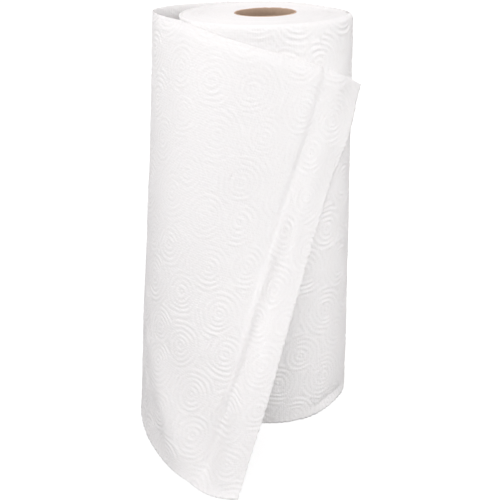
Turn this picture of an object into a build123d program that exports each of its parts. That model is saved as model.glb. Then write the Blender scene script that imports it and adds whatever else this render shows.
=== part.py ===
from build123d import *
from math import cos, exp, log1p, pi, radians, sin
import os

# A household paper towel roll, standing on its end, with its last sheet hanging loose round the left
# side and the front. Millimetres. The origin is on the roll's axis at the foot and +Z is up.
# Azimuths are in degrees from +X towards +Y. The front of the roll faces -Y.

# Core: a cardboard tube, flush with the paper at both ends
CORE_BORE = 38.8
CORE_WALL = 1.0

# Wound paper
ROLL_HEIGHT = 280.0
ROLL_DIAMETER = 112.0
SHOULDER_DROP = 3.5          # height of the pressed shoulder on the right of the top rim
SHOULDER_INSET = 1.3         # half of what that shoulder takes off the right side
FLARE_HEIGHT = 8.0           # height of the flared foot
FLARE_SHIFT = 1.2            # how far the foot is pushed out
FLARE_AZIMUTH = -35.0        # the side to which it is pushed

# Turn lines that show on both ends: one spiral groove that follows the winding
TURN_PITCH = 4.4
TURN_LINE_WIDTH = 0.5
TURN_LINE_DEPTH = 0.8
TURN_MARGIN = 1.2            # paper left between the groove and the core or the outer turn

# Loose sheet: its top and its foot seen from above, each a list of (azimuth, distance outside the roll).
# The first station of each lies inside the outer turn, where the sheet is still wound.
SHEET_THICKNESS = 0.6
TOP_STATIONS = [
    (95, -1.2), (116, 0.7), (138, 4.6), (150, 11.6), (160, 18.6), (168, 20.6), (176, 17.8), (186, 12.6),
    (196, 7.8), (207, 4.2), (220, 2.8), (250, 2.6), (290, 2.6), (320, 3.8), (334, 5.6), (347, 7.8),
]
FOOT_STATIONS = [
    (92, -1.2), (112, 0.7), (126, 6.0), (142, 17.5), (159, 30.0), (177, 37.5), (198, 43.0), (214, 50.5),
    (227, 60.0), (235, 66.3), (241, 71.0), (246, 74.6), (251, 77.8), (256, 79.6), (261.5, 79.3),
]
EDGE_INSET = 0.6             # the sheet's top edge lies this far below the turns
FLOOR_GAP = 0.5              # and its lower edge this far above the floor

# Shape of the loose sheet between the two. Values named ..._FROM and ..._TO are shares of its length,
# counted from where it leaves the roll to its free edge.
CORNER_DROP = 43.2           # how far the top edge has sunk at the free corner
CORNER_DROP_FROM = 0.45
CORNER_DROP_POWER = 1.52     # the higher, the later the top edge sinks
BULGE = 7.0                  # outward belly at mid-height
BULGE_FROM = 0.2
BULGE_TO = 0.9
HEM_LENGTH = 3.5             # how much of the sheet's lower edge turns out along the floor
HEM_FROM = 0.35
HEM_TO = 0.57
HEM_BEND = 2.5               # softness of the bend where the sheet meets the floor

# Fold: a long valley beside the free edge, with a low ridge between the two
FOLD_FROM_EDGE_TOP = 39.0
FOLD_FROM_EDGE_FOOT = 28.0
FOLD_DEPTH_TOP = 1.2
FOLD_DEPTH_FOOT = 4.0
FOLD_FULL_DEPTH_AT = 0.62    # share of the way down where it has its full depth
FOLD_FADE_FROM = 0.9         # share of the way down where it starts to fade into the hem
FOLD_STEEP_SIDE = 3.5
FOLD_GENTLE_SIDE = 8.0
RIDGE_SHARE = 0.45           # height of the ridge as a share of the fold's depth
RIDGE_OFFSET = 17.0          # from the valley towards the free edge
RIDGE_WIDTH = 8.0

# Where the sheet's surface is worked out: shares of its length and of the way down, closer together
# through the fold and the bend at the floor
ALONG_GRID = [i / 40 for i in range(33)] + [0.8 + i / 60 for i in range(1, 13)]
DOWN_GRID = [j / 16 for j in range(14)] + [0.84, 0.87, 0.895, 0.915, 0.935, 0.95, 0.965, 0.98, 1.0]
SURFACE_TOLERANCE = 0.1

CORE_RADIUS = CORE_BORE / 2 + CORE_WALL
ROLL_RADIUS = ROLL_DIAMETER / 2


def make_core() -> Part:
    """The cardboard tube."""
    tube = Cylinder(CORE_RADIUS, ROLL_HEIGHT, align=(Align.CENTER, Align.CENTER, Align.MIN))
    return tube - Cylinder(CORE_BORE / 2, ROLL_HEIGHT, align=(Align.CENTER, Align.CENTER, Align.MIN))


def turn_line() -> Face:
    """The plan of the spiral groove, as half turns about two centres a quarter pitch each side of the axis."""
    inner = CORE_RADIUS + TURN_MARGIN + TURN_PITCH / 4
    outer = ROLL_RADIUS - 2 * SHOULDER_INSET - TURN_MARGIN - TURN_LINE_WIDTH
    half_turns = int((outer - inner) / (TURN_PITCH / 2)) + 1
    near_side = []
    far_side = []
    for k in range(half_turns):
        right_half = k % 2 == 0
        centre = (-TURN_PITCH / 4 if right_half else TURN_PITCH / 4, 0)
        start = 0 if right_half else 180
        radius = inner + k * TURN_PITCH / 2
        near_side.append(CenterArc(centre, radius, start, 180))
        far_side.append(CenterArc(centre, radius + TURN_LINE_WIDTH, start, 180))
    ends = [Line(near_side[0] @ 0, far_side[0] @ 0), Line(near_side[-1] @ 1, far_side[-1] @ 1)]
    return make_face(near_side + far_side + ends).face()


def make_wound_paper() -> Part:
    """The turns round the core, with a pressed shoulder at the top right and a flared foot."""
    flare_x = FLARE_SHIFT * cos(radians(FLARE_AZIMUTH))
    flare_y = FLARE_SHIFT * sin(radians(FLARE_AZIMUTH))
    foot = loft([
        Plane.XY * Pos(flare_x, flare_y) * Circle(ROLL_RADIUS),
        Plane.XY.offset(FLARE_HEIGHT) * Circle(ROLL_RADIUS),
    ])
    wall_height = ROLL_HEIGHT - FLARE_HEIGHT - SHOULDER_DROP
    wall = Pos(0, 0, FLARE_HEIGHT) * Cylinder(ROLL_RADIUS, wall_height, align=(Align.CENTER, Align.CENTER, Align.MIN))
    shoulder = loft([
        Plane.XY.offset(ROLL_HEIGHT - SHOULDER_DROP) * Circle(ROLL_RADIUS),
        Plane.XY.offset(ROLL_HEIGHT) * Pos(-SHOULDER_INSET, 0) * Circle(ROLL_RADIUS - SHOULDER_INSET),
    ])
    body = foot + wall + shoulder
    body -= Cylinder(CORE_RADIUS, ROLL_HEIGHT, align=(Align.CENTER, Align.CENTER, Align.MIN))
    line = turn_line()
    for level in (0, ROLL_HEIGHT - TURN_LINE_DEPTH):
        body -= Pos(0, 0, level) * extrude(line, TURN_LINE_DEPTH)
    return body


def edge_curve(stations: list) -> Edge:
    """The loose sheet's top or foot seen from above."""
    points = []
    for azimuth, outside in stations:
        radius = ROLL_RADIUS + outside
        points.append((radius * cos(radians(azimuth)), radius * sin(radians(azimuth))))
    return Spline(*points).edge()


def rise(value: float, start: float, end: float) -> float:
    """A smooth rise from 0 at the start to 1 at the end."""
    share = min(max((value - start) / (end - start), 0.0), 1.0)
    return share * share * (3 - 2 * share)


def belly(along: float, hung: float) -> float:
    """How far the sheet bulges outwards, at a share of its length and of its height."""
    share = min(max((along - BULGE_FROM) / (BULGE_TO - BULGE_FROM), 0.0), 1.0)
    return BULGE * sin(pi * share) * 4 * hung * (1 - hung)


def fold(from_edge: float, down: float) -> float:
    """How far the fold moves the sheet outwards, at a distance from the free edge and a share down."""
    valley = FOLD_FROM_EDGE_TOP + (FOLD_FROM_EDGE_FOOT - FOLD_FROM_EDGE_TOP) * down
    depth = FOLD_DEPTH_TOP + (FOLD_DEPTH_FOOT - FOLD_DEPTH_TOP) * rise(down, 0, FOLD_FULL_DEPTH_AT)
    towards_edge = valley - from_edge
    side = FOLD_GENTLE_SIDE if towards_edge > 0 else FOLD_STEEP_SIDE
    ridge = RIDGE_SHARE * exp(-(((towards_edge - RIDGE_OFFSET) / RIDGE_WIDTH) ** 2))
    return depth * (ridge - exp(-((towards_edge / side) ** 2)))


def sheet_point(top: Edge, foot: Edge, along: float, down: float) -> Vector:
    """A point of the sheet's outer face, at shares of its length round the roll and of its height."""
    sunk = max((along - CORNER_DROP_FROM) / (1 - CORNER_DROP_FROM), 0.0)
    start = Vector(top @ along) + Vector(0, 0, ROLL_HEIGHT - EDGE_INSET - CORNER_DROP * sunk**CORNER_DROP_POWER)
    end = Vector(foot @ along) + Vector(0, 0, FLOOR_GAP + SHEET_THICKNESS)
    hanging = (end - start).length
    hem = rise(along, HEM_FROM, HEM_TO)
    travelled = down * (hanging + HEM_LENGTH * hem)
    past_floor = HEM_BEND * log1p(exp((travelled - hanging) / HEM_BEND)) * hem
    hung = min(travelled - past_floor, hanging) / hanging
    point = start + (end - start) * hung
    outward = Vector(point.X, point.Y, 0).normalized()
    folded = fold((1 - along) * top.length, down) * (1 - rise(hung, FOLD_FADE_FROM, 1))
    return point + outward * (past_floor + belly(along, hung) + folded)


def make_loose_sheet() -> Solid:
    """The last sheet, thickened towards the roll from its outer face."""
    top = edge_curve(TOP_STATIONS)
    foot = edge_curve(FOOT_STATIONS)
    grid = [[sheet_point(top, foot, along, down) for down in DOWN_GRID] for along in ALONG_GRID]
    surface = Face.make_surface_from_array_of_points(grid, tol=SURFACE_TOLERANCE, min_deg=3, max_deg=3)
    return Solid.thicken(surface, SHEET_THICKNESS)


os.makedirs("parts", exist_ok=True)

core_tube = make_core()
core_tube.label = "core_tube"
export_step(core_tube, "parts/core_tube.step")

paper_web = make_wound_paper() + make_loose_sheet()
paper_web.label = "paper_web"
export_step(paper_web, "parts/paper_web.step")
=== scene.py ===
"""Dresses a household paper towel roll, which stands on its end with its last sheet hanging loose.

Lengths are in millimetres while the shapes are worked out, and in metres on the finished meshes. Azimuths
are in degrees from +X towards +Y. The roll's axis is +Z, its foot is at the origin and its front faces -Y.
"""

import logging
import math
from dataclasses import dataclass, field
from enum import Enum

import bmesh
import bpy
import numpy as np
from mathutils import Matrix, Vector
from mathutils.geometry import delaunay_2d_cdt


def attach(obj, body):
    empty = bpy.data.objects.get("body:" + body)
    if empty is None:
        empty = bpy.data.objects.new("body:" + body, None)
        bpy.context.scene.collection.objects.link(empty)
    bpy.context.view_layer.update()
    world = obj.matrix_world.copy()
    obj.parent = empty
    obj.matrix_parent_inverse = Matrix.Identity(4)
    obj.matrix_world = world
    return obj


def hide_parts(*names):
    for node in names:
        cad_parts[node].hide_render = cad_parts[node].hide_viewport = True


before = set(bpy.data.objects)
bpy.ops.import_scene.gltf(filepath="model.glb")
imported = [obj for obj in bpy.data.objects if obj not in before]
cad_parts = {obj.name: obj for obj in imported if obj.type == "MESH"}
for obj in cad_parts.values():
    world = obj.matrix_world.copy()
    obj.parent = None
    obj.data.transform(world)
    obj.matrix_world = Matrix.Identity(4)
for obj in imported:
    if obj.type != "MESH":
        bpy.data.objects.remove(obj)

MM = 0.001
BODY = "root"
# A length in millimetres that is too small to matter
HAIR = 1e-6
# Sockets of a Mix node, which have the same names: its two numbers, its two colours and the mixed colour
MIX_NUMBERS = (2, 3)
MIX_COLOURS = (6, 7)
MIX_COLOUR_RESULT = 2
LOG = logging.getLogger("paper_towel_roll")


class End(Enum):
    """The two ends of the roll."""

    TOP = 1
    FOOT = -1


def rise(value: np.ndarray, start: float, end: float) -> np.ndarray:
    """Gives a smooth rise from 0 to 1.

    Args:
        value: Where it is read.
        start: Where it leaves 0.
        end: Where it reaches 1.

    Returns:
        The height of the rise at each value.
    """
    share = np.clip((value - start) / (end - start), 0.0, 1.0)
    return share * share * (3 - 2 * share)


def hump(value: np.ndarray, centre: float, width: float) -> np.ndarray:
    """Gives a smooth hump of height 1.

    Args:
        value: Where it is read.
        centre: Where it is highest.
        width: How wide it is, from its middle to where it has fallen to about a third.

    Returns:
        The height of the hump at each value.
    """
    return np.exp(-(((value - centre) / width) ** 2))


@dataclass
class Unevenness:
    """Repeatable smooth noise between -1 and 1, read on a plane.

    Args:
        seed: Which noise it is.
    """

    seed: int
    size: int = 256
    table: np.ndarray = field(init=False)

    def __post_init__(self) -> None:
        """Draws the values at the corners of the noise's cells."""
        self.table = np.random.default_rng(self.seed).uniform(-1.0, 1.0, (self.size, self.size))

    def at(self, x: np.ndarray, y: np.ndarray, period: int | None = None) -> np.ndarray:
        """Reads the noise.

        Args:
            x: First coordinate, in cells.
            y: Second coordinate, in cells.
            period: Number of cells after which it repeats along x, if it does.

        Returns:
            The noise at each point.
        """
        period = period or self.size
        x, y = np.broadcast_arrays(np.asarray(x, float), np.asarray(y, float))
        left, below = np.floor(x).astype(int), np.floor(y).astype(int)
        across, up = rise(x - left, 0, 1), rise(y - below, 0, 1)
        i, j = left % period, (left + 1) % period
        k, m = below % self.size, (below + 1) % self.size
        low = self.table[i, k] * (1 - across) + self.table[j, k] * across
        high = self.table[i, m] * (1 - across) + self.table[j, m] * across
        return low * (1 - up) + high * up


# Meshes


def make_piece(name: str, points: np.ndarray, faces: list) -> bpy.types.Object:
    """Makes a smoothly shaded mesh object and puts it in the scene.

    Args:
        name: The piece's name.
        points: Its points, in millimetres.
        faces: Its faces, each a list of point numbers.

    Returns:
        The new object.
    """
    mesh = bpy.data.meshes.new(name)
    mesh.from_pydata((points * MM).tolist(), [], [list(map(int, face)) for face in faces])
    mesh.validate()
    mesh.update()
    mesh.polygons.foreach_set("use_smooth", [True] * len(mesh.polygons))
    piece = bpy.data.objects.new(name, mesh)
    bpy.context.scene.collection.objects.link(piece)
    return piece


def add_flat_map(piece: bpy.types.Object, flat: np.ndarray) -> None:
    """Lays the paper's flat coordinates on a piece as a UV map, in metres.

    Args:
        piece: The piece.
        flat: For each point, its place on the flat paper in millimetres.
    """
    layer = piece.data.uv_layers.new(name="flat")
    corners = np.zeros(len(piece.data.loops), np.int64)
    piece.data.loops.foreach_get("vertex_index", corners)
    layer.data.foreach_set("uv", (flat[corners] * MM).ravel())


def add_value(piece: bpy.types.Object, name: str, values: np.ndarray) -> None:
    """Stores a number on each point of a piece for its material to read.

    Args:
        piece: The piece.
        name: What the material calls it.
        values: The numbers.
    """
    layer = piece.data.attributes.new(name, "FLOAT", "POINT")
    layer.data.foreach_set("value", values.astype(np.float32))


def triangulate(points: np.ndarray, apart: float = 1e-4) -> tuple[np.ndarray, np.ndarray]:
    """Joins scattered points of a plane by triangles.

    Args:
        points: The points.
        apart: How near two points are that count as doubles.

    Returns:
        The points, with any doubles gone, and the triangles.
    """
    found = delaunay_2d_cdt([Vector(p) for p in points.tolist()], [], [], 0, apart)
    return np.array([tuple(v) for v in found[0]]), np.array(found[2])


def rim_edges(triangles: np.ndarray) -> np.ndarray:
    """Finds the edges that only one triangle uses.

    Args:
        triangles: The triangles.

    Returns:
        Those edges, in the direction in which their triangle runs.
    """
    edges = np.concatenate([triangles[:, [0, 1]], triangles[:, [1, 2]], triangles[:, [2, 0]]])
    _, where, times = np.unique(np.sort(edges, axis=1), axis=0, return_inverse=True, return_counts=True)
    return edges[times[where.ravel()] == 1]


def two_sided(triangles: np.ndarray, rims: np.ndarray, count: int) -> list:
    """Gives the faces of a sheet with an outer and an inner side, joined along its rims.

    Args:
        triangles: The triangles of the outer side.
        rims: The edges along which the two sides are joined.
        count: How many points a side has. Those of the inner side follow those of the outer one.

    Returns:
        The faces.
    """
    joins = [[b, a, a + count, b + count] for a, b in rims]
    return [*triangles, *(triangles[:, ::-1] + count), *joins]


def weld(piece: bpy.types.Object, distance: float = 0.002) -> None:
    """Joins the points of a piece that lie on each other.

    Args:
        piece: The piece.
        distance: How near that is, in millimetres.
    """
    work = bmesh.new()
    work.from_mesh(piece.data)
    bmesh.ops.remove_doubles(work, verts=work.verts, dist=distance * MM)
    bmesh.ops.dissolve_degenerate(work, edges=work.edges, dist=distance * MM / 4)
    work.to_mesh(piece.data)
    work.free()


# The paper's shape


@dataclass
class RingEmboss:
    """Rings pressed into the paper round scattered centres, each set cut off where the next one starts.

    Args:
        width: The flat paper's extent along the web.
        height: The flat paper's extent across the web.
        seed: Which scatter it is.
        wraps: Whether the pattern closes on itself round the roll.
        spacing: How far apart the points of the mesh lie along a ring.
        relief: How deep the rings are pressed.
        mottle: The strength, cell and offset of each noise that presses the rings deeper or less deep.
    """

    width: float
    height: float
    seed: int
    wraps: bool
    spacing: float
    relief: float
    column: float = 33.0
    row: float = 28.5
    scatter: float = 6.2
    least_reach: float = 0.62
    pitch: float = 3.45
    steps_a_ring: int = 4
    furthest_ring: float = 1.2
    edge_spacing: float = 1.4
    margin: float = 0.45
    seam: float = 1.1
    wander: float = 0.85
    wander_cell: float = 7.0
    middle_level: float = 0.45
    pressed: float = 0.95
    least_pressed: float = 0.35
    most_pressed: float = 1.4
    mottle: tuple = ((0.3, 27.0, 30), (0.3, 8.0, 60), (0.25, 3.6, 90))
    # The level of the painted shade, which darkens the rings' hollows, at the relief's middle height
    painted_shade_middle: float = 0.4
    least_points: int = 6
    drift_seed: int = 100
    batch: int = 20000
    centres: np.ndarray = field(init=False)
    reach: np.ndarray = field(init=False)
    drift: Unevenness = field(init=False)

    def __post_init__(self) -> None:
        """Scatters the centres of the rings."""
        self.drift = Unevenness(self.seed + self.drift_seed)
        draw = np.random.default_rng(self.seed)
        columns = max(round(self.width / self.column), 1)
        step = self.width / columns
        rows = math.ceil(self.height / self.row) + 2
        centres, reach = [], []
        for j in range(-1, rows):
            for i in range(columns) if self.wraps else range(-1, columns + 2):
                along = (i + 0.5 * (j % 2)) * step
                across = draw.uniform(-1, 1) * self.scatter
                up = draw.uniform(-1, 1) * self.scatter
                centres.append((along + across, j * self.row + up))
                reach.append(draw.uniform(self.least_reach, 1.0))
        self.centres, self.reach = np.array(centres), np.array(reach)
        if self.wraps:
            shifts = [np.array([k * self.width, 0.0]) for k in (-1, 0, 1)]
            self.centres = np.concatenate([self.centres + shift for shift in shifts])
            self.reach = np.tile(self.reach, 3)

    def nearest(self, flat: np.ndarray) -> tuple[np.ndarray, np.ndarray, np.ndarray]:
        """Finds the set of rings to which each point belongs.

        Args:
            flat: Points of the flat paper.

        Returns:
            Each point's set, its distance from that set's centre, and its distance from the set's edge.
        """
        owner, radius, inside = [], [], []
        for part in np.array_split(flat, max(len(flat) // self.batch, 1)):
            away = np.hypot(*(part[:, None] - self.centres[None]).transpose(2, 0, 1))
            weighed = away / self.reach
            order = np.argpartition(weighed, 1, axis=1)[:, :2]
            pick = np.take_along_axis(weighed, order, axis=1)
            swap = pick[:, 0] > pick[:, 1]
            order[swap] = order[swap][:, ::-1]
            pick = np.sort(pick, axis=1)
            own, other = order.T
            owner.append(own)
            radius.append(away[np.arange(len(part)), own])
            inside.append((pick[:, 1] - pick[:, 0]) / (1 / self.reach[own] + 1 / self.reach[other]))
        return np.concatenate(owner), np.concatenate(radius), np.concatenate(inside)

    def relief_at(self, flat: np.ndarray) -> np.ndarray:
        """Gives the height of the pressed rings above the paper's middle.

        Args:
            flat: Points of the flat paper.

        Returns:
            The height at each point.
        """
        _, radius, inside = self.nearest(flat)
        ring = radius + self.wander_at(flat)
        wave = 0.5 + 0.5 * np.cos(2 * math.pi * ring / self.pitch)
        pressed = self.pressed
        for strength, cell, offset in self.mottle:
            pressed = pressed + strength * self.noise(flat, cell, offset)
        pressed = np.clip(pressed, self.least_pressed, self.most_pressed)
        return self.relief * (wave - self.middle_level) * rise(inside, 0, self.seam) * pressed

    def painted_shade(self, height: np.ndarray) -> np.ndarray:
        """Gives the painted shade at heights of the relief, from 0 in the hollows, where shade falls, to 1
        on the crests.
        """
        return np.clip(height / self.relief + self.painted_shade_middle, 0, 1)

    def noise(self, flat: np.ndarray, cell: float, offset: float) -> np.ndarray:
        """Reads the pattern's own noise, which closes on itself where the pattern does.

        Args:
            flat: Points of the flat paper.
            cell: Size of the noise's cells.
            offset: Which part of the noise is read.

        Returns:
            The noise at each point.
        """
        cells = max(round(self.width / cell), 1)
        x = flat[:, 0] / self.width * cells
        return self.drift.at(x, flat[:, 1] / cell + offset, period=cells if self.wraps else None)

    def wander_at(self, flat: np.ndarray) -> np.ndarray:
        """Gives how far a ring strays from its true circle."""
        return self.wander * self.noise(flat, self.wander_cell, 0)

    def points(self) -> np.ndarray:
        """Lays points on the paper that follow the rings, and its four edges.

        Returns:
            The points.
        """
        laid = []
        size = np.array([self.width, self.height])
        step = self.pitch / self.steps_a_ring
        furthest = self.furthest_ring * max(self.column, self.row)
        for number, centre in enumerate(self.centres):
            if not ((centre > -furthest) & (centre < size + furthest)).all():
                continue
            rings = [np.zeros((1, 2))]
            for k in range(1, int(furthest / step)):
                radius = k * step
                count = max(self.least_points, round(2 * math.pi * radius / self.spacing))
                angle = 2 * math.pi * (np.arange(count) + 0.5 * (k % 2)) / count
                rings.append(np.stack([radius * np.cos(angle), radius * np.sin(angle)], axis=1))
            ring_points = np.concatenate(rings)
            stray = self.wander_at(ring_points + centre) / np.maximum(np.hypot(*ring_points.T), self.pitch)
            ring_points = ring_points * (1 - stray)[:, None] + centre
            within = (ring_points > self.margin) & (ring_points < size - self.margin)
            ring_points = ring_points[within.all(axis=1)]
            owner, _, inside = self.nearest(ring_points)
            laid.append(ring_points[(owner == number) & (inside > self.margin / 2)])
        along = np.linspace(0, self.width, round(self.width / self.edge_spacing) + 1)
        up = np.linspace(0, self.height, round(self.height / self.edge_spacing) + 1)[1:-1]
        laid += [np.stack([along, np.full_like(along, level)], axis=1) for level in (0.0, self.height)]
        laid += [np.stack([np.full_like(up, level), up], axis=1) for level in (0.0, self.width)]
        return np.concatenate(laid)


@dataclass
class PlanCurve:
    """A smooth curve seen from above, through stations round the roll.

    Args:
        stations: Pairs of azimuth and distance outside the roll.
        radius: The roll's radius.
    """

    stations: tuple
    radius: float
    samples: int = 3000
    place: np.ndarray = field(init=False)
    share: np.ndarray = field(init=False)
    length: float = field(init=False)

    def __post_init__(self) -> None:
        """Passes a cubic spline through the stations and measures along it."""
        azimuth = np.radians([station[0] for station in self.stations])
        outside = np.array([station[1] for station in self.stations])
        through = (self.radius + outside)[:, None] * np.stack([np.cos(azimuth), np.sin(azimuth)], axis=1)
        knots = np.concatenate([[0], np.cumsum(np.hypot(*np.diff(through, axis=0).T))])
        gap = np.diff(knots)
        count = len(knots)
        system, wanted = np.eye(count), np.zeros((count, 2))
        for i in range(1, count - 1):
            system[i, i - 1:i + 2] = gap[i - 1], 2 * (gap[i - 1] + gap[i]), gap[i]
            ahead = (through[i + 1] - through[i]) / gap[i]
            behind = (through[i] - through[i - 1]) / gap[i - 1]
            wanted[i] = 6 * (ahead - behind)
        bend = np.linalg.solve(system, wanted)
        at = np.linspace(0, knots[-1], self.samples)
        i = np.clip(np.searchsorted(knots, at, side="right") - 1, 0, count - 2)
        before, after = (at - knots[i])[:, None], (knots[i + 1] - at)[:, None]
        wide = gap[i][:, None]
        self.place = (
            (bend[i] * after**3 + bend[i + 1] * before**3) / (6 * wide)
            + (through[i] / wide - bend[i] * wide / 6) * after
            + (through[i + 1] / wide - bend[i + 1] * wide / 6) * before
        )
        travelled = np.concatenate([[0], np.cumsum(np.hypot(*np.diff(self.place, axis=0).T))])
        self.length = float(travelled[-1])
        self.share = travelled / self.length

    def at(self, share: np.ndarray) -> np.ndarray:
        """Gives the curve's points.

        Args:
            share: Shares of its length.

        Returns:
            The points.
        """
        return np.stack([np.interp(share, self.share, self.place[:, i]) for i in range(2)], axis=-1)


@dataclass(frozen=True)
class RollForm:
    """The wound roll's outer form, from its core to its outer turn."""

    radius: float = 56.0
    height: float = 280.0
    core_radius: float = 20.4
    # The pressed shoulder on the right of the top rim, and the rounded rim at the front
    shoulder_drop: float = 4.2
    shoulder_inset: float = 1.6
    front_round: float = 1.4
    front_round_drop: float = 8.0
    front_azimuth: float = -110.0
    front_spread: float = 45.0
    # The stretch of the top rim that has sunk
    rim_sag: float = 1.9
    sag_azimuth: float = 30.0
    sag_spread: float = 34.0
    sag_height: float = 14.0
    # The dented foot, and the crease above it
    foot_dent: float = 1.9
    crease_height: float = 6.8
    crease_depth: float = 5.0
    crease_softness: float = 5.5
    crease_power: float = 1.3
    crease_azimuth: float = -36.0
    crease_spread: float = 19.0
    # The slack of the outer turn on the right, from a cosine of the azimuth and between two heights
    slack: float = 1.5
    slack_side: float = 0.1
    slack_foot: tuple = (-20.0, 8.0)
    # Its least share, and where along the height it is fullest, in shares of the height
    slack_least: float = 0.75
    slack_at: float = 0.45
    slack_spread: float = 0.35

    def wall(self, azimuth: np.ndarray, z: np.ndarray) -> np.ndarray:
        """Gives points of the outer turn's middle.

        Args:
            azimuth: Their azimuths, in radians.
            z: Their heights.

        Returns:
            The points.
        """
        side = hump(self.turned(azimuth, self.crease_azimuth), 0, self.crease_spread)
        above = np.exp(-np.maximum(z - self.crease_height, 0) / self.crease_softness)
        below = np.clip(z / self.crease_height, 0, 1) ** self.crease_power
        dent = self.foot_dent * np.clip(1 - z / self.crease_height, 0, 1)
        out = -side * (dent + self.crease_depth * above * below)
        inset = self.shoulder_inset * self.rounding(z, self.shoulder_drop)
        swollen = hump(z, self.slack_at * self.height, self.slack_spread * self.height)
        slack = self.slack * rise(np.cos(azimuth), self.slack_side, 1.0) * rise(z, *self.slack_foot)
        slack = slack * (self.slack_least + (1 - self.slack_least) * swollen)
        front = self.front_round * hump(self.turned(azimuth, self.front_azimuth), 0, self.front_spread)
        radius = self.radius + out - inset + slack - front * self.rounding(z, self.front_round_drop)
        z = z - self.sag(azimuth) * rise(z, self.height - self.sag_height, self.height)
        return np.stack([radius * np.cos(azimuth) - inset, radius * np.sin(azimuth), z], axis=-1)

    def rounding(self, z: np.ndarray, drop: float) -> np.ndarray:
        """Gives how far a rounding that starts a drop below the top has turned in at each height."""
        share = np.clip((z - self.height + drop) / drop, 0, 1)
        return 1 - np.sqrt(1 - share**2)

    def turned(self, azimuth: np.ndarray, towards: float) -> np.ndarray:
        """Gives azimuths, in radians, as degrees to either side of another."""
        return (np.degrees(azimuth) - towards + 180) % 360 - 180

    def sag(self, azimuth: np.ndarray) -> np.ndarray:
        """Gives how far the top rim has sunk at each azimuth, in radians."""
        return self.rim_sag * hump(self.turned(azimuth, self.sag_azimuth), 0, self.sag_spread)


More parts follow.
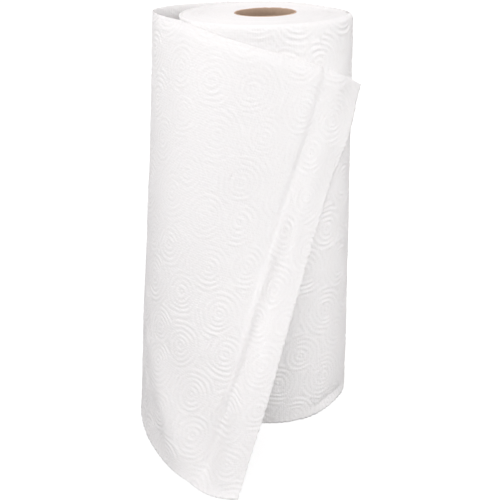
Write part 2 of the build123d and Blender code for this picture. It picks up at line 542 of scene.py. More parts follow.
@dataclass
class HangingForm:
    """The loose sheet's form, by shares of its length round the roll and of its height from the top."""

    roll: RollForm
    thickness: float = 0.6
    # Its top edge and its foot seen from above: azimuths and distances outside the roll
    top_stations: tuple = (
        (95, -1.2), (116, 0.7), (138, 4.6), (150, 11.6), (160, 18.6), (168, 20.6), (176, 17.8), (186, 12.6),
        (196, 7.8), (207, 4.2), (220, 2.8), (250, 2.6), (290, 2.6), (320, 3.4), (334, 4.0), (347, 7.8),
    )
    foot_stations: tuple = (
        (92, -1.2), (112, 0.7), (126, 6.0), (142, 17.5), (159, 30.0), (177, 38.0), (198, 44.5), (214, 52.3),
        (227, 60.9), (235, 66.9), (241, 70.0), (246, 71.9), (251, 77.8), (256, 82.2), (261.5, 82.4),
    )
    edge_inset: float = 0.6
    floor_gap: float = 0.5
    # How the top edge sinks towards the free corner
    corner_drop: float = 45.0
    corner_drop_from: float = 0.45
    corner_drop_power: float = 1.6
    # The belly at mid-height, and the hem that turns out along the floor
    bulge: float = 7.0
    bulge_from: float = 0.2
    bulge_to: float = 0.9
    hem_length: float = 0.8
    hem_start: float = 0.2
    hem_start_span: tuple = (0.35, 0.55)
    hem_from: float = 0.78
    hem_to: float = 0.9
    hem_bend: float = 4.0
    # The long fold: a valley beside the free edge, with a low ridge between the two
    fold_from_edge_top: float = 39.0
    fold_from_edge_foot: float = 28.0
    fold_depth_top: float = 1.2
    fold_depth_foot: float = 4.0
    fold_full_depth_at: float = 0.62
    fold_fade_from: float = 0.965
    fold_steep_side: float = 3.5
    fold_gentle_side: float = 8.0
    fold_wander: float = 1.0
    fold_wander_noise: tuple = (6.0, 70)
    fold_breaks: float = 0.3
    fold_break_noise: tuple = (9.0, 90)
    ridge_share: float = 0.45
    ridge_offset: float = 17.0
    ridge_width: float = 8.0
    # The lip of the top edge, and the stretch on the left that stands proud of the turns
    lip: float = 1.3
    lip_reach: float = 0.035
    lip_rise: tuple = (0.3, 0.42)
    lip_fall: tuple = (0.85, 0.97)
    proud: float = 1.8
    proud_at: float = 0.2
    proud_spread: float = 0.16
    proud_from: float = 0.08
    # The swell low on the left, steeper towards the left, and the sheet's slump towards the front
    swell: float = 3.8
    swell_at: float = 0.79
    swell_down: float = 0.93
    swell_lean: float = 1.05
    swell_steep: float = 0.07
    swell_gentle: float = 0.075
    swell_reach: float = 0.14
    slump: float = 6.0
    slump_span: tuple = (0.7, 0.95)
    slump_at: float = 0.72
    slump_reach: float = 0.24
    slump_power: int = 6
    # The flap under the free corner, and the small waves of slack paper
    flap: float = 2.4
    flap_from: float = 0.9
    flap_at: float = 0.13
    flap_reach: float = 0.075
    slack_span: tuple = (0.15, 0.4)
    wave: float = 0.9
    wave_cells: tuple = (5.0, 4.0)
    ripple: float = 0.35
    ripple_cells: tuple = (12.0, 9.0)
    ripple_offset: float = 40.0
    near: float = 0.002
    seed: int = 21
    top: PlanCurve = field(init=False)
    foot: PlanCurve = field(init=False)
    unevenness: Unevenness = field(init=False)

    def __post_init__(self) -> None:
        """Makes the sheet's two long edges seen from above."""
        self.top = PlanCurve(self.top_stations, self.roll.radius)
        self.foot = PlanCurve(self.foot_stations, self.roll.radius)
        self.unevenness = Unevenness(self.seed)

    @property
    def length(self) -> float:
        """The sheet's length round the roll."""
        return (self.top.length + self.foot.length) / 2

    @property
    def height(self) -> float:
        """The sheet's height, which is the width of the web."""
        return self.roll.height

    def fold(self, from_edge: np.ndarray, down: np.ndarray) -> np.ndarray:
        """Gives how far the long fold moves the sheet outwards.

        Args:
            from_edge: Distance from the free edge.
            down: Share of the way down.

        Returns:
            The move at each point.
        """
        valley = self.fold_from_edge_top + (self.fold_from_edge_foot - self.fold_from_edge_top) * down
        cells, offset = self.fold_wander_noise
        valley = valley + self.fold_wander * self.unevenness.at(down * cells, offset)
        deepened = rise(down, 0, self.fold_full_depth_at)
        depth = self.fold_depth_top + (self.fold_depth_foot - self.fold_depth_top) * deepened
        cells, offset = self.fold_break_noise
        depth = depth * (1 + self.fold_breaks * self.unevenness.at(down * cells, offset))
        towards_edge = valley - from_edge
        side = np.where(towards_edge > 0, self.fold_gentle_side, self.fold_steep_side)
        ridge = self.ridge_share * hump(towards_edge, self.ridge_offset, self.ridge_width)
        return depth * (ridge - hump(towards_edge / side, 0, 1))

    def long_edges(self, along: np.ndarray) -> tuple[np.ndarray, np.ndarray]:
        """Gives points of the sheet's top edge and of the line under it at the floor.

        Args:
            along: Shares of its length.

        Returns:
            The points at the top and those at the floor.
        """
        sunk = np.maximum((along - self.corner_drop_from) / (1 - self.corner_drop_from), 0.0)
        top_z = self.roll.height - self.edge_inset - self.corner_drop * sunk**self.corner_drop_power
        proud = self.proud * hump(along, self.proud_at, self.proud_spread)
        top_z = top_z + proud * rise(along, 0, self.proud_from)
        foot_z = np.full_like(along, self.floor_gap + self.thickness)
        start = np.concatenate([self.top.at(along), top_z[:, None]], axis=1)
        return start, np.concatenate([self.foot.at(along), foot_z[:, None]], axis=1)

    def at_floor(
        self, along: np.ndarray, down: np.ndarray, hanging: np.ndarray
    ) -> tuple[np.ndarray, np.ndarray]:
        """Turns the sheet's lower edge out along the floor, in a soft bend.

        Args:
            along: Shares of its length.
            down: Shares of its height.
            hanging: How far it hangs down at each point.

        Returns:
            How far each point has moved out along the floor, and its share of the way down.
        """
        hem = self.hem_start * rise(along, *self.hem_start_span)
        hem = hem + (1 - self.hem_start) * rise(along, self.hem_from, self.hem_to)
        turned_out = self.hem_length * hem
        travelled = down * (hanging + turned_out)
        past_floor = self.hem_bend * np.log1p(np.exp((travelled - hanging) / self.hem_bend)) * hem
        furthest = self.hem_bend * np.log1p(np.exp(turned_out / self.hem_bend)) * hem
        return past_floor, np.clip((travelled - past_floor) / (hanging + turned_out - furthest), 0, 1)

    def belly(self, along: np.ndarray, hung: np.ndarray) -> np.ndarray:
        """Gives how far the sheet bulges outwards at mid-height."""
        share = np.clip((along - self.bulge_from) / (self.bulge_to - self.bulge_from), 0.0, 1.0)
        return self.bulge * np.sin(math.pi * share) * 4 * hung * (1 - hung)

    def folds(self, along: np.ndarray, down: np.ndarray, hung: np.ndarray) -> np.ndarray:
        """Gives how far the long fold, the lip, the low swell and the corner's flap move the sheet outwards.

        Args:
            along: Shares of the sheet's length.
            down: Shares of its height.
            hung: Shares of the way down to the floor.

        Returns:
            The move at each point.
        """
        folded = self.fold((1 - along) * self.top.length, down) * (1 - rise(hung, self.fold_fade_from, 1))
        lip = self.lip * rise(along, *self.lip_rise) * (1 - rise(along, *self.lip_fall))
        folded = folded - lip * (1 - rise(down, 0, self.lip_reach)) ** 2
        crest = self.swell_at + self.swell_lean * (hung - self.swell_down)
        side = np.where(along < crest, self.swell_steep, self.swell_gentle)
        swell = self.swell * hump((along - crest) / side, 0, 1)
        folded = folded + swell * hump(hung, self.swell_down, self.swell_reach)
        flap = self.flap * rise(along, self.flap_from, 1.0)
        return folded + flap * hump(down, self.flap_at, self.flap_reach)

    def soft_waves(self, along: np.ndarray, down: np.ndarray, hung: np.ndarray) -> np.ndarray:
        """Gives the small waves of the slack paper.

        Args:
            along: Shares of the sheet's length.
            down: Shares of its height.
            hung: Shares of the way down to the floor.

        Returns:
            The move at each point.
        """
        slack = rise(along, *self.slack_span) * hung * (1 - hung) * 4
        wave = self.unevenness.at(along * self.wave_cells[0], down * self.wave_cells[1])
        rippled = along * self.ripple_cells[0] + self.ripple_offset
        ripple = self.unevenness.at(rippled, down * self.ripple_cells[1])
        return self.wave * slack * wave + self.ripple * slack * ripple

    def middle(self, along: np.ndarray, down: np.ndarray) -> np.ndarray:
        """Gives points of the sheet's outer face, before the rings are pressed into it.

        Args:
            along: Shares of its length.
            down: Shares of its height.

        Returns:
            The points.
        """
        start, end = self.long_edges(along)
        past_floor, hung = self.at_floor(along, down, np.linalg.norm(end - start, axis=1))
        point = start + (end - start) * hung[:, None]
        outward = point[:, :2] / np.linalg.norm(point[:, :2], axis=1)[:, None]
        moved = past_floor + self.belly(along, hung) + self.folds(along, down, hung)
        point[:, :2] += outward * (moved + self.soft_waves(along, down, hung))[:, None]
        slump = self.slump * rise(along, *self.slump_span) * hump(hung, self.slump_at, self.slump_reach)
        point[:, 1] -= slump * (1 - hung**self.slump_power)
        return point

    def lifted(self, along: np.ndarray, down: np.ndarray, lift: np.ndarray) -> np.ndarray:
        """Gives points at a distance from the sheet's outer face.

        Args:
            along: Shares of its length.
            down: Shares of its height.
            lift: How far outside the face they are.

        Returns:
            The points.
        """
        ahead = self.middle(along + self.near, down) - self.middle(along - self.near, down)
        lower, upper = np.minimum(down + self.near, 1), np.maximum(down - self.near, 0)
        normal = np.cross(self.middle(along, lower) - self.middle(along, upper), ahead)
        normal /= np.linalg.norm(normal, axis=1)[:, None]
        return self.middle(along, down) + normal * lift[:, None]


# Finishes


class NodeGraph:
    """A tree of shader nodes, added one after another.

    Args:
        tree: The node tree of a material or of the world.
    """

    def __init__(self, tree: bpy.types.NodeTree) -> None:
        """Takes up the tree."""
        self.tree = tree

    def add(self, kind: str, **settings: object) -> bpy.types.Node:
        """Adds a node.

        Args:
            kind: Its type.
            **settings: Its properties.

        Returns:
            The node.
        """
        node = self.tree.nodes.new(kind)
        for key, value in settings.items():
            setattr(node, key, value)
        return node

    def link(self, source: bpy.types.NodeSocket, target: bpy.types.NodeSocket) -> None:
        """Joins two sockets."""
        self.tree.links.new(source, target)

    def maths(self, operation: str, *values: object) -> bpy.types.NodeSocket:
        """Adds a sum, a product or the like.

        Args:
            operation: Which of them.
            *values: Numbers or sockets.

        Returns:
            Its result.
        """
        node = self.add("ShaderNodeMath", operation=operation)
        for socket, value in zip(node.inputs, values):
            if isinstance(value, (int, float)):
                socket.default_value = value
            else:
                self.link(value, socket)
        return node.outputs[0]

    def noise(self, vector: bpy.types.NodeSocket, scale: float, detail: float) -> bpy.types.NodeSocket:
        """Adds a noise texture.

        Args:
            vector: Where it is read.
            scale: How fine it is.
            detail: How many finer layers it has.

        Returns:
            Its value.
        """
        node = self.add("ShaderNodeTexNoise")
        node.inputs["Scale"].default_value = scale
        node.inputs["Detail"].default_value = detail
        self.link(vector, node.inputs["Vector"])
        return node.outputs[0]

    def read(self, name: str) -> bpy.types.NodeSocket:
        """Reads a value that is stored on the mesh's points."""
        return self.add("ShaderNodeAttribute", attribute_name=name).outputs["Fac"]

    def place(self) -> bpy.types.NodeSocket:
        """Reads the place on the object, in metres."""
        return self.add("ShaderNodeTexCoord").outputs["Object"]

    def mix(self, share: bpy.types.NodeSocket, first: object, second: object) -> bpy.types.NodeSocket:
        """Mixes two colours.

        Args:
            share: How much of the second there is.
            first: The first colour, or a socket that gives it.
            second: The second colour, or a socket that gives it.

        Returns:
            The mixed colour.
        """
        node = self.add("ShaderNodeMix", data_type="RGBA")
        self.link(share, node.inputs[0])
        for number, colour in zip(MIX_COLOURS, (first, second)):
            if isinstance(colour, tuple):
                node.inputs[number].default_value = (*colour, 1)
            else:
                self.link(colour, node.inputs[number])
        return node.outputs[MIX_COLOUR_RESULT]

    def bump(
        self, height: bpy.types.NodeSocket, depth: float, under: bpy.types.NodeSocket | None = None
    ) -> bpy.types.NodeSocket:
        """Adds fine relief.

        Args:
            height: Its height, from 0 to 1.
            depth: How deep that is, in metres.
            under: The relief on which it lies.

        Returns:
            The bumped normal.
        """
        node = self.add("ShaderNodeBump")
        node.inputs["Strength"].default_value = 1.0
        node.inputs["Distance"].default_value = depth
        self.link(height, node.inputs["Height"])
        if under is not None:
            self.link(under, node.inputs["Normal"])
        return node.outputs[0]


class MaterialGraph(NodeGraph):
    """The nodes of a new material.

    Args:
        name: The material's name.
    """

    def __init__(self, name: str) -> None:
        """Starts the material with a Principled shader."""
        self.material = bpy.data.materials.new(name)
        self.material.use_nodes = True
        super().__init__(self.material.node_tree)
        self.shader = self.tree.nodes["Principled BSDF"]

    def finish(
        self, colour: bpy.types.NodeSocket, normal: bpy.types.NodeSocket, surface: tuple
    ) -> bpy.types.Material:
        """Gives the shader its colour, its relief and its own values.

        Args:
            colour: The colour.
            normal: The relief's normal.
            surface: Pairs of a socket's name and its value.

        Returns:
            The material.
        """
        self.link(colour, self.shader.inputs["Base Color"])
        self.link(normal, self.shader.inputs["Normal"])
        for name, value in surface:
            self.shader.inputs[name].default_value = value
        return self.material


@dataclass(frozen=True)
class PaperFinish:
    """Soft white two-ply paper: fine pressed dots, loose fibres, a faint bloom, and painted shade in the
    hollows of its pressed rings.
    """

    name: str = "soft_white_paper"
    # The paper's own colour on the crests, and a darker one that stands for painted shade in the rings'
    # hollows as well as random mottle and fibres
    crest: tuple = (0.905, 0.893, 0.888)
    hollow_shade_and_mottle: tuple = (0.88, 0.865, 0.862)
    hollow_shade_tone: float = 0.75
    cloud_tone: float = 0.3
    fibre_tone: float = 0.2
    dot_scale: float = 640.0
    dot_scatter: float = 0.45
    dot_depth: float = 0.0003
    fibre_scale: float = 1500.0
    fibre_detail: float = 3.0
    fibre_depth: float = 0.00006
    cloud_scale: float = 28.0
    cloud_detail: float = 2.0
    surface: tuple = (
        ("Roughness", 0.92), ("Specular IOR Level", 0.2), ("Sheen Weight", 0.12), ("Sheen Roughness", 0.6),
        ("Subsurface Weight", 0.18), ("Subsurface Radius", (1.0, 0.95, 0.9)), ("Subsurface Scale", 0.0009),
    )

    def make(self) -> bpy.types.Material:
        """Builds the material."""
        graph = MaterialGraph(self.name)
        place = graph.place()
        dots = graph.add("ShaderNodeTexVoronoi", feature="SMOOTH_F1")
        dots.inputs["Scale"].default_value = self.dot_scale
        dots.inputs["Randomness"].default_value = self.dot_scatter
        graph.link(graph.add("ShaderNodeUVMap", uv_map="flat").outputs[0], dots.inputs["Vector"])
        fibres = graph.noise(place, self.fibre_scale, self.fibre_detail)
        clouds = graph.noise(place, self.cloud_scale, self.cloud_detail)
        tone = graph.maths("MULTIPLY", clouds, self.cloud_tone)
        # Painted shade: darker in the hollows of the pressed rings
        tone = graph.maths("MULTIPLY_ADD", graph.read("emboss"), self.hollow_shade_tone, tone)
        tone = graph.maths("MULTIPLY_ADD", fibres, self.fibre_tone, tone)
        relief = graph.bump(dots.outputs["Distance"], -self.dot_depth)
        relief = graph.bump(fibres, self.fibre_depth, relief)
        return graph.finish(graph.mix(tone, self.hollow_shade_and_mottle, self.crest), relief, self.surface)


@dataclass(frozen=True)
class TurnFinish:
    """The cut edges of the wound turns: packed layers of paper, with painted shade in the gaps between them.
    """

    name: str = "wound_paper_edges"
    edge: tuple = (0.905, 0.893, 0.888)
    # The paper darkened, for the painted shade in the gaps between turns and for random fibres
    gap: tuple = (0.8, 0.785, 0.78)
    gap_shade_tone: float = 0.9
    fibre_tone: float = 0.25
    fibre_scale: float = 1900.0
    fibre_detail: float = 3.0
    fibre_depth: float = 0.00012
    surface: tuple = (
        ("Roughness", 0.95), ("Specular IOR Level", 0.15), ("Subsurface Weight", 0.15),
        ("Subsurface Radius", (1.0, 0.95, 0.9)), ("Subsurface Scale", 0.0009),
    )

    def make(self) -> bpy.types.Material:
        """Builds the material."""
        graph = MaterialGraph(self.name)
        fibres = graph.noise(graph.place(), self.fibre_scale, self.fibre_detail)
        # Painted shade: darker towards the gaps between the turns
        tone = graph.maths("MULTIPLY", graph.read("turn"), self.gap_shade_tone)
        tone = graph.maths("MULTIPLY_ADD", fibres, self.fibre_tone, tone)
        colour = graph.mix(tone, self.gap, self.edge)
        return graph.finish(colour, graph.bump(fibres, self.fibre_depth), self.surface)


@dataclass(frozen=True)
class BoardFinish:
    """Grey-brown recycled board with short fibres and flecks."""

    name: str = "core_board"
    light: tuple = (0.475, 0.353, 0.262)
    dark: tuple = (0.315, 0.225, 0.163)
    rim: tuple = (0.62, 0.44, 0.33)
    fibre_tone: float = 0.7
    cloud_tone: float = 0.4
    stretch: tuple = (1.0, 1.0, 0.35)
    fibre_scale: float = 1400.0
    fibre_detail: float = 4.0
    fibre_depth: float = 0.0001
    cloud_scale: float = 90.0
    cloud_detail: float = 3.0
    surface: tuple = (("Roughness", 0.85), ("Specular IOR Level", 0.25))

    def make(self) -> bpy.types.Material:
        """Builds the material."""
        graph = MaterialGraph(self.name)
        place = graph.place()
        stretched = graph.add("ShaderNodeMapping")
        stretched.inputs["Scale"].default_value = self.stretch
        graph.link(place, stretched.inputs["Vector"])
        fibres = graph.noise(stretched.outputs[0], self.fibre_scale, self.fibre_detail)
        clouds = graph.noise(place, self.cloud_scale, self.cloud_detail)
        tone = graph.maths("MULTIPLY", clouds, self.cloud_tone)
        tone = graph.maths("MULTIPLY_ADD", fibres, self.fibre_tone, tone)
        colour = graph.mix(graph.read("rim"), graph.mix(tone, self.dark, self.light), self.rim)
        return graph.finish(colour, graph.bump(fibres, self.fibre_depth), self.surface)


# Pieces


@dataclass
class OuterTurn:
    """The roll's outer turn, with rings pressed into it."""

    roll: RollForm
    paper: bpy.types.Material
    thickness: float = 0.5
    inset: float = 0.25
    sunk: float = 0.35
    spacing: float = 2.6
    relief: float = 0.88
    # Where the rings are fainter: at the front near the top, between two distances down from it
    bare_share: float = 0.65
    bare_azimuth: float = -108.0
    bare_spread: float = 30.0
    bare_from: float = 60.0
    bare_to: float = 30.0
    # The soft dents between the rings
    unevenness: float = 0.28
    dents_round: int = 9
    dent_height: float = 42.0
    ring_seed: int = 11
    dent_seed: int = 5

    def build(self) -> bpy.types.Object:
        """Makes the piece."""
        width = 2 * math.pi * self.roll.radius
        height = self.roll.height - 2 * self.inset
        emboss = RingEmboss(
            width, height, seed=self.ring_seed, wraps=True,
            spacing=self.spacing, relief=self.relief,
        )
        flat, triangles = triangulate(emboss.points())
        azimuth = flat[:, 0] / self.roll.radius
        z = flat[:, 1] + self.inset
        bare = hump(self.roll.turned(azimuth, self.bare_azimuth), 0, self.bare_spread)
        bare = bare * rise(z, height - self.bare_from, height - self.bare_to)
        lift = emboss.relief_at(flat) * (1 - self.bare_share * bare)
        dents = Unevenness(self.dent_seed).at(
            flat[:, 0] / width * self.dents_round, flat[:, 1] / self.dent_height, period=self.dents_round)
        soft = self.unevenness * dents
        middle = self.roll.wall(azimuth, z)
        outward = np.stack([np.cos(azimuth), np.sin(azimuth), np.zeros_like(azimuth)], axis=1)
        outer = middle + outward * (lift + soft - self.sunk)[:, None]
        inner = middle + outward * (np.minimum(lift + soft, 0) - self.sunk - self.thickness)[:, None]
        at_end = np.abs(flat[:, 1] - height / 2) > height / 2 - HAIR
        rims = rim_edges(triangles)
        faces = two_sided(triangles, rims[at_end[rims].all(axis=1)], len(flat))
        piece = make_piece("outer_turn", np.concatenate([outer, inner]), faces)
        add_flat_map(piece, np.concatenate([flat, flat]))
        # Painted shade for the rings' hollows, stored for the paper material to darken them
        painted_shade = emboss.painted_shade(lift)
        add_value(piece, "emboss", np.concatenate([painted_shade, painted_shade]))
        weld(piece)
        piece.data.materials.append(self.paper)
        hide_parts("paper_web")
        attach(piece, BODY)
        return piece


@dataclass
class WoundTurns:
    """The wound turns inside the outer one, whose cut edges show as fine spiral lines on both ends."""

    roll: RollForm
    edges: bpy.types.Material
    pitch: float = 0.86
    samples: int = 4
    spokes: int = 256
    depth: float = 0.1
    # Turns that stand further apart, and how unevenly the turns stand up
    gap_depth: float = 1.6
    gap_span: tuple = (0.35, 0.8)
    gap_cell: float = 0.61
    swing: float = 0.28
    swing_cells: tuple = (2.3, 0.37)
    ripple: float = 0.12
    ripples: int = 9
    ripple_cell: float = 3.1
    ripple_offset: float = 7.0
    gap_offset: tuple = (90.0, 3.0)
    seed: int = 31
    raised_share: float = 0.35
    flat_at_core: float = 2.0
    # How the two ends meet the outer turn
    rim_width: float = 2.2
    rim_drop: float = 0.35
    top_inset: float = 0.25
    foot_inset: float = 0.3
    shifted_from: float = 0.55
    sag_from: float = 0.6
    skin: float = 1.0
    wall_levels: tuple = (1.5, 3.0, 5.0, 8.0, 12.0, 20.0, -20.0, -3.5, -1.8)

    def end_points(self, end: End) -> tuple[np.ndarray, np.ndarray]:
        """Lays points over one end of the roll, along the spiral of the turns.

        Args:
            end: Which end.

        Returns:
            The points as a grid of turns by spokes, and how far each lies out of the gap between turns.
        """
        inner, outer = self.roll.core_radius, self.roll.radius - self.skin
        steps = int((outer - inner) / self.pitch * self.samples) + self.samples + 1
        k, spoke = np.meshgrid(np.arange(steps + 1), np.arange(self.spokes + 1), indexing="ij")
        turned = spoke / self.spokes
        radius = inner + self.pitch * (k / self.samples + turned - 1)
        azimuth = 2 * math.pi * turned
        along = k / self.samples + turned
        level = 0.5 - 0.5 * np.cos(2 * math.pi * along)
        turn = np.floor(along)
        loose = Unevenness(self.seed + end.value)
        swing = loose.at((turn + turned) * self.swing_cells[0], turn * self.swing_cells[1])
        rippled = turned * self.ripples + self.ripple_offset
        ripple = loose.at(rippled, turn * self.ripple_cell, period=self.ripples)
        uneven = self.swing * swing + self.ripple * ripple
        gap = loose.at(turn * self.gap_cell + self.gap_offset[0], self.gap_offset[1])
        wide = rise(gap, *self.gap_span)
        height = -self.depth * (1 - level) * (1 + self.gap_depth * wide)
        height = height + uneven * self.raised_share * rise(radius, inner, inner + self.flat_at_core)
        radius = np.clip(radius, inner, outer)
        if end is End.TOP:
            rim = rise(radius, outer - self.rim_width, outer)
            z = self.roll.height - self.top_inset - self.rim_drop * rim + height
            z = z - self.roll.sag(azimuth) * rise(radius, outer * self.sag_from, outer)
        else:
            z = self.foot_inset - height
        wall = self.roll.wall(azimuth, np.full_like(azimuth, self.roll.height if end is End.TOP else 0.0))
        straight = self.roll.radius * np.stack([np.cos(azimuth), np.sin(azimuth)], axis=-1)
        shift = (wall[..., :2] - straight) * rise(radius, outer * self.shifted_from, outer)[..., None]
        points = np.stack([radius * np.cos(azimuth), radius * np.sin(azimuth), z], axis=-1)
        points[..., :2] += shift
        return points, level

    def build(self) -> bpy.types.Object:
        """Makes the piece."""
        points, levels, faces, rims = [], [], [], {}
        for end in (End.TOP, End.FOOT):
            grid, level = self.end_points(end)
            base = sum(len(p) for p in points)
            rows, columns = grid.shape[:2]
            number = base + np.arange(rows * columns).reshape(rows, columns)
            a, b, c, d = number[:-1, :-1], number[1:, :-1], number[1:, 1:], number[:-1, 1:]
            quads = np.stack([a, b, c, d], axis=-1).reshape(-1, 4)
            faces += quads.tolist() if end is End.TOP else quads[:, ::-1].tolist()
            points.append(grid.reshape(-1, 3))
            levels.append(level.ravel())
            rims[end] = number
        azimuth = 2 * math.pi * np.arange(self.spokes + 1) / self.spokes
        outward = np.stack([np.cos(azimuth), np.sin(azimuth), 0 * azimuth], axis=1)
        base = sum(len(p) for p in points)
        rings = [rims[End.FOOT][-1]]
        for level in self.wall_levels:
            z = np.full_like(azimuth, level if level > 0 else self.roll.height + level)
            points.append(self.roll.wall(azimuth, z) - self.skin * outward)
            levels.append(np.ones_like(azimuth))
            rings.append(base + np.arange(self.spokes + 1))
            base += self.spokes + 1
        rings.append(rims[End.TOP][-1])
        for below, above in zip(rings, rings[1:]):
            faces += np.stack([below[:-1], below[1:], above[1:], above[:-1]], axis=1).tolist()
        below, above = rims[End.FOOT][0], rims[End.TOP][0]
        faces += np.stack([above[:-1], above[1:], below[1:], below[:-1]], axis=1).tolist()
        piece = make_piece("wound_turns", np.concatenate(points), faces)
        # Painted shade of the gaps between turns, which the edge material reads
        add_value(piece, "turn", np.concatenate(levels))
        weld(piece)
        piece.data.materials.append(self.edges)
        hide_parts("paper_web")
        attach(piece, BODY)
        return piece


@dataclass
class LooseSheet:
    """The last sheet, which hangs loose round the left side and the front."""

    form: HangingForm
    paper: bpy.types.Material
    thickness: float = 0.42
    sunk: float = 0.12
    spacing: float = 2.1
    relief: float = 0.54
    flat_until: float = 0.03
    # Where the paper is pulled taut and its rings are fainter: middle and reach along and down the sheet
    taut_share: float = 0.65
    taut_along: tuple = (0.62, 0.22)
    taut_down: tuple = (0.22, 0.3)
    # The torn free edge: teeth left by the slits, loose fibres and a slow wander
    slit_pitch: float = 5.2
    slit_depth: float = 0.55
    fray: float = 0.5
    fray_cell: float = 2.1
    ragged: float = 0.8
    ragged_cell: float = 34.0
    torn_from: float = 0.965
    ragged_offset: float = 5.0
    ring_seed: int = 4
    tear_seed: int = 77

    def torn(self, along: np.ndarray, down: np.ndarray) -> np.ndarray:
        """Cuts the free edge back a little, unevenly, where it was torn off along its line of slits.

        Args:
            along: Shares of the sheet's length.
            down: Shares of its height.

        Returns:
            The shares of its length after the cut.
        """
        run = down * self.form.height
        noise = Unevenness(self.tear_seed)
        tooth = np.abs(((run / self.slit_pitch) % 1) - 0.5) * 2
        fray = self.fray * (noise.at(run / self.fray_cell, 0.0) + 1) / 2
        ragged = self.ragged * noise.at(run / self.ragged_cell, self.ragged_offset)
        cut = self.slit_depth * tooth + fray + ragged
        return along - cut / self.form.length * rise(along, self.torn_from, 1.0)

    def build(self) -> bpy.types.Object:
        """Makes the piece."""
        form = self.form
        emboss = RingEmboss(
            form.length, form.height, seed=self.ring_seed, wraps=False,
            spacing=self.spacing, relief=self.relief,
        )
        flat, triangles = triangulate(emboss.points())
        lift = emboss.relief_at(flat)
        along, down = flat[:, 0] / form.length, 1 - flat[:, 1] / form.height
        along = self.torn(along, down)
        taut = 1 - self.taut_share * hump(along, *self.taut_along) * hump(down, *self.taut_down)
        raised = lift * (rise(along, 0.0, self.flat_until) * taut) - self.sunk
        outer = form.lifted(along, down, raised)
        inner = form.lifted(along, down, raised - self.thickness)
        faces = two_sided(triangles, rim_edges(triangles), len(flat))
        piece = make_piece("loose_sheet", np.concatenate([outer, inner]), faces)
        add_flat_map(piece, np.concatenate([flat, flat]))
        # Painted shade for the rings' hollows; on the inner face the outer face's crests are the hollows
        painted_shade = emboss.painted_shade(lift)
        add_value(piece, "emboss", np.concatenate([painted_shade, 1 - painted_shade]))
        piece.data.materials.append(self.paper)
        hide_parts("paper_web")
        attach(piece, BODY)
        form.height * MM
        form.length * MM
        return piece


@dataclass
class BoardCore:
    """The board tube in the middle, wound from a strip whose seam runs round it as a helix."""

    roll: RollForm
    board: bpy.types.Material
    bore_radius: float = 19.4
    spokes: int = 128
    rows: int = 90
    seam_lead: float = 118.0
    seam_width: float = 0.9
    seam_depth: float = 0.22
    # Rows of points, and the gap to the paper round it
    end_levels: tuple = (0.05, 0.2)
    first_row: float = 0.6
    paper_gap: float = 0.05
    # Dents in the bore, and the bevelled and ragged rims
    softness: float = 0.12
    dents_round: int = 7
    dent_height: float = 30.0
    rim: float = 0.3
    rim_height: float = 0.5
    ragged: float = 0.14
    tufts: int = 48
    rim_shade: tuple = (0.1, 0.9)
    seed: int = 9

    def build(self) -> bpy.types.Object:
        """Makes the piece."""
        azimuth = np.linspace(0, 2 * math.pi, self.spokes, endpoint=False)
        height = self.roll.height
        rows = np.linspace(self.first_row, height - self.first_row, self.rows)
        z = np.concatenate([self.end_levels, rows, [height - level for level in reversed(self.end_levels)]])
        rough = Unevenness(self.seed)
        turns, levels = np.meshgrid(azimuth / (2 * math.pi), z)
        from_end = np.minimum(levels, height - levels)
        phase = (levels / self.seam_lead - turns) % 1
        off_seam = np.minimum(phase, 1 - phase) * self.seam_lead
        seam = self.seam_depth * hump(off_seam, 0, self.seam_width)
        dents = rough.at(turns * self.dents_round, levels / self.dent_height, period=self.dents_round)
        bevel = self.rim * (1 - rise(from_end, 0, self.rim_height))
        ragged = self.ragged * rough.at(turns * self.tufts, 0 * levels, period=self.tufts)
        ragged = ragged * (np.abs(levels - height / 2) > height / 2 - self.rim_height)
        bore_face = self.bore_radius + (seam + bevel) + self.softness * dents
        paper_face = self.roll.core_radius - self.paper_gap - (seam + bevel)
        angle = turns * 2 * math.pi
        grids = [
            np.stack([face * np.cos(angle), face * np.sin(angle), levels + ragged], axis=-1)
            for face in (bore_face, paper_face)
        ]
        number = np.arange(2 * len(z) * self.spokes).reshape(2, len(z), self.spokes)
        ahead = np.roll(number, -1, axis=2)
        faces = []
        bore = np.stack([number[0, :-1], number[0, 1:], ahead[0, 1:], ahead[0, :-1]], axis=-1).reshape(-1, 4)
        out = np.stack([number[1, :-1], ahead[1, :-1], ahead[1, 1:], number[1, 1:]], axis=-1).reshape(-1, 4)
        top = np.stack([number[0, -1], number[1, -1], ahead[1, -1], ahead[0, -1]], axis=-1)
        foot = np.stack([number[0, 0], ahead[0, 0], ahead[1, 0], number[1, 0]], axis=-1)
        for part in (bore, out, top, foot):
            faces += part.tolist()
        piece = make_piece("board_core", np.concatenate([g.reshape(-1, 3) for g in grids]), faces)
        at_rim = (1 - rise(from_end, *self.rim_shade)).ravel()
        add_value(piece, "rim", np.concatenate([at_rim, at_rim]))
        piece.data.materials.append(self.board)
        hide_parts("core_tube")
        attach(piece, BODY)
        return piece


# Studio


@dataclass(frozen=True)
class Lamp:
    """A square soft light, which faces a point on the roll's axis.

    Args:
        name: Its name.
        place: Where it is.
        size: Its width.
        watts: Its power.
        aim_z: The height that it faces.
        spread: The angle of its beam, in degrees.
    """

    name: str
    place: tuple
    size: float
    watts: float
    aim_z: float = 0.14
    spread: float = 180.0

    def build(self) -> None:
        """Adds the light."""
        data = bpy.data.lights.new(self.name, "AREA")
        data.shape = "SQUARE"
        data.size = self.size
        data.energy = self.watts
        data.spread = math.radians(self.spread)
        lamp = bpy.data.objects.new(self.name, data)
        lamp.location = self.place
        aim = Vector((0, 0, self.aim_z)) - Vector(self.place)
        lamp.rotation_euler = aim.to_track_quat("-Z", "Y").to_euler()
        bpy.context.scene.collection.objects.link(lamp)


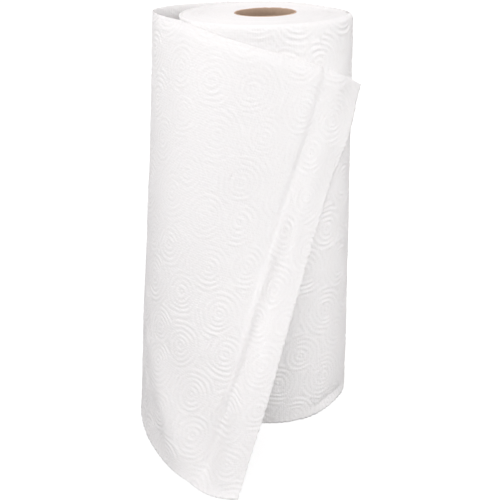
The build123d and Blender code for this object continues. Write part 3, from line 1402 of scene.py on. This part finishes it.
@dataclass
class Studio:
    """The camera, the lights and the pale floor, in metres and degrees."""

    place: tuple = (0.0, -0.582654, 0.360717)
    down: float = 23.1384
    turn: float = -1.30855
    roll: float = -1.26199
    focal_px: float = 872.887
    picture_px: int = 500
    sensor: float = 36.0
    nearest: float = 0.01
    white: tuple = (1.0, 1.0, 1.0)
    fill_tint: tuple = (1.0, 0.955, 0.975)
    fill_light: float = 0.36
    floor_half: float = 4.0
    floor_grey: tuple = (0.25, 0.25, 0.25)
    floor_ramp: tuple = (("From Min", 0.1), ("From Max", 0.6), ("To Min", 0.86), ("To Max", 1.0))
    lamps: tuple = (
        Lamp("front_light", (0.2, -1.5, 0.4), 0.9, 2.65, aim_z=0.32, spread=85.0),
        Lamp("left_light", (-0.8, -0.1, 0.62), 0.5, 1.62, aim_z=0.28, spread=110.0),
        Lamp("right_light", (0.9, -0.35, 0.42), 0.6, 3.0),
        Lamp("high_light", (0.05, -0.55, 0.75), 0.5, 1.35),
        Lamp("back_light", (0.15, 0.7, 0.9), 0.6, 4.3),
    )

    def camera(self) -> None:
        """Puts the camera at the photograph's viewpoint."""
        data = bpy.data.cameras.new("camera")
        data.sensor_width = self.sensor
        data.lens = self.focal_px / self.picture_px * self.sensor
        data.clip_start = self.nearest
        camera = bpy.data.objects.new("camera", data)
        bpy.context.scene.collection.objects.link(camera)
        pitch, yaw, lean = (math.radians(v) for v in (self.down, self.turn, self.roll))
        ahead = Vector((math.sin(yaw) * math.cos(pitch), math.cos(yaw) * math.cos(pitch), -math.sin(pitch)))
        right = Vector((math.cos(yaw), -math.sin(yaw), 0))
        up = right.cross(ahead)
        side = right * math.cos(lean) + up * math.sin(lean)
        over = up * math.cos(lean) - right * math.sin(lean)
        turned = Matrix((side, over, -ahead)).transposed().to_4x4()
        camera.matrix_world = Matrix.Translation(self.place) @ turned
        bpy.context.scene.camera = camera

    def seen_white(self, graph: NodeGraph) -> bpy.types.NodeSocket:
        """Gives 1 for rays from the camera, a mirror or glass, and 0 for the rest.

        Args:
            graph: The tree that needs it.

        Returns:
            The value.
        """
        path = graph.add("ShaderNodeLightPath")
        seen = path.outputs["Is Camera Ray"]
        for name in ("Is Glossy Ray", "Is Transmission Ray"):
            seen = graph.maths("MAXIMUM", seen, path.outputs[name])
        return seen

    def world(self) -> None:
        """Makes the surroundings white to the eye and softly lit."""
        world = bpy.data.worlds.new("white_studio")
        bpy.context.scene.world = world
        world.use_nodes = True
        graph = NodeGraph(world.node_tree)
        back = graph.tree.nodes["Background"]
        seen = self.seen_white(graph)
        graph.link(graph.mix(seen, self.fill_tint, self.white), back.inputs["Color"])
        strength = graph.add("ShaderNodeMix")
        graph.link(seen, strength.inputs[0])
        for number, light in zip(MIX_NUMBERS, (self.fill_light, 1.0)):
            strength.inputs[number].default_value = light
        graph.link(strength.outputs[0], back.inputs["Strength"])

    def floor(self) -> None:
        """Lays the pale floor, which keeps the roll's shadow."""
        half = self.floor_half
        mesh = bpy.data.meshes.new("floor")
        corners = [(-half, -half, 0), (half, -half, 0), (half, half, 0), (-half, half, 0)]
        mesh.from_pydata(corners, [], [(0, 1, 2, 3)])
        floor = bpy.data.objects.new("floor", mesh)
        bpy.context.scene.collection.objects.link(floor)
        graph = MaterialGraph("pale_floor")
        graph.tree.nodes.remove(graph.shader)
        matt = graph.add("ShaderNodeBsdfDiffuse")
        matt.inputs["Color"].default_value = (*self.floor_grey, 1)
        away = graph.add("ShaderNodeVectorMath", operation="LENGTH")
        graph.link(graph.place(), away.inputs[0])
        ramp = graph.add("ShaderNodeMapRange")
        for name, value in self.floor_ramp:
            ramp.inputs[name].default_value = value
        graph.link(away.outputs["Value"], ramp.inputs["Value"])
        glow = graph.add("ShaderNodeEmission")
        lift = graph.maths("MULTIPLY", self.seen_white(graph), ramp.outputs["Result"])
        graph.link(lift, glow.inputs["Strength"])
        both = graph.add("ShaderNodeAddShader")
        graph.link(matt.outputs[0], both.inputs[0])
        graph.link(glow.outputs[0], both.inputs[1])
        graph.link(both.outputs[0], graph.tree.nodes["Material Output"].inputs["Surface"])
        mesh.materials.append(graph.material)

    def build(self) -> None:
        """Sets up the whole studio."""
        bpy.context.scene.view_settings.view_transform = "Standard"
        self.camera()
        self.world()
        for lamp in self.lamps:
            lamp.build()
        self.floor()


def main() -> None:
    """Builds the dressed roll and its studio."""
    logging.basicConfig(level=logging.INFO, format="%(message)s")
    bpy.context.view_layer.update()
    Studio().build()
    roll = RollForm()
    paper = PaperFinish().make()
    pieces = [
        OuterTurn(roll, paper).build(),
        WoundTurns(roll, TurnFinish().make()).build(),
        LooseSheet(HangingForm(roll), paper).build(),
        BoardCore(roll, BoardFinish().make()).build(),
    ]
    for piece in pieces:
        triangles = sum(len(face.vertices) - 2 for face in piece.data.polygons)
        LOG.info("%s: %d triangles", piece.name, triangles)


if __name__ == "__main__":
    main()
